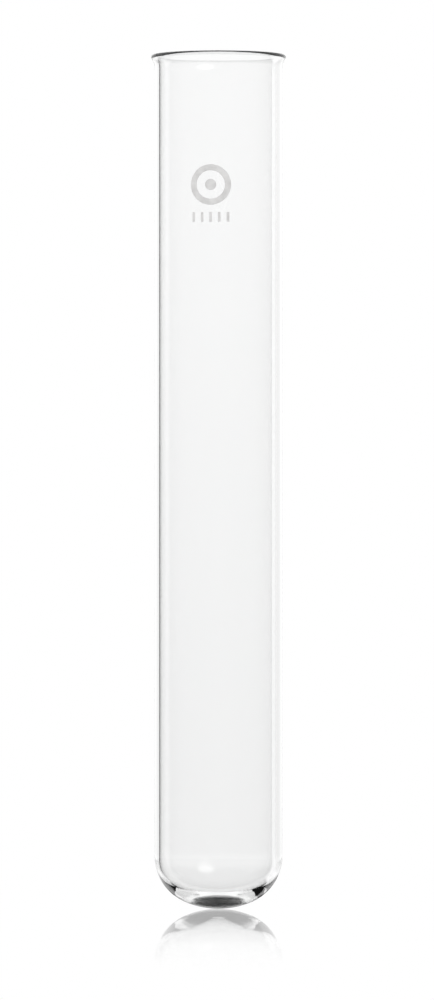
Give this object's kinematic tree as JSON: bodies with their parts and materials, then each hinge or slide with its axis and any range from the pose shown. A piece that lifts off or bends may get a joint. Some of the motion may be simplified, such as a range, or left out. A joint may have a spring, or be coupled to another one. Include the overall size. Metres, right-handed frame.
{
  "type": "test tube",
  "caption": "Round-bottomed laboratory test tube of clear borosilicate glass, with a flared fire-polished rim and a small grey enamel mark near the mouth.",
  "frame": {"origin": "lowest point of the round bottom, on the tube's axis", "axes": "+Z along the axis to the mouth, -Y towards the front, where the enamel mark is"},
  "size_m": [0.0316, 0.0316, 0.2],
  "materials": {
    "clear_glass": "clear, fire-polished borosilicate glass",
    "grey_enamel": "matt fired enamel"
  },
  "bodies": {
    "root": {"glass_tube": "clear_glass", "enamel_ring": "grey_enamel", "enamel_dot": "grey_enamel", "enamel_dashes": "grey_enamel"}
  },
  "joints": []
}
